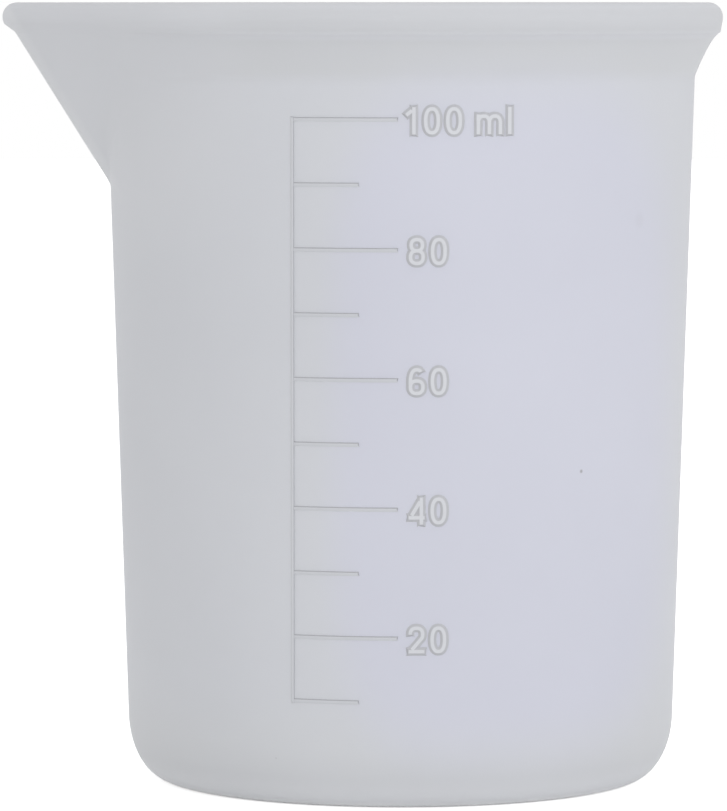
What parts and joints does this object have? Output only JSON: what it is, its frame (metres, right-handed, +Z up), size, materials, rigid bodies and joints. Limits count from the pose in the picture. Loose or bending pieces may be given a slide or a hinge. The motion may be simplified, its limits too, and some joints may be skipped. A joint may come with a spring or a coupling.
{
  "type": "resin mixing cup",
  "caption": "Soft round measuring and mixing cup with a tapered wall, a flared collar, a rolled rim, a pointed pouring spout and a raised scale on the front.",
  "frame": {"origin": "centre of the flat underside, on the axis of the round cup", "axes": "+Z up along the cup's axis, the pouring spout points to -X, the raised scale is on the -Y side"},
  "size_m": [0.0647, 0.0578, 0.07],
  "materials": {
    "silicone": "satin, milky translucent",
    "silicone_scale": "satin, milky translucent, raised marks of the same moulding"
  },
  "bodies": {
    "root": {"base": "silicone", "wall": "silicone", "collar": "silicone", "spout": "silicone", "rim": "silicone", "spout_lip": "silicone", "scale_line": "silicone_scale", "tick_10": "silicone_scale", "tick_20": "silicone_scale", "tick_30": "silicone_scale", "tick_40": "silicone_scale", "tick_50": "silicone_scale", "tick_60": "silicone_scale", "tick_70": "silicone_scale", "tick_80": "silicone_scale", "tick_90": "silicone_scale", "tick_100": "silicone_scale", "numeral_20": "silicone_scale", "numeral_40": "silicone_scale", "numeral_60": "silicone_scale", "numeral_80": "silicone_scale", "numeral_100": "silicone_scale", "unit_ml": "silicone_scale"}
  },
  "joints": []
}
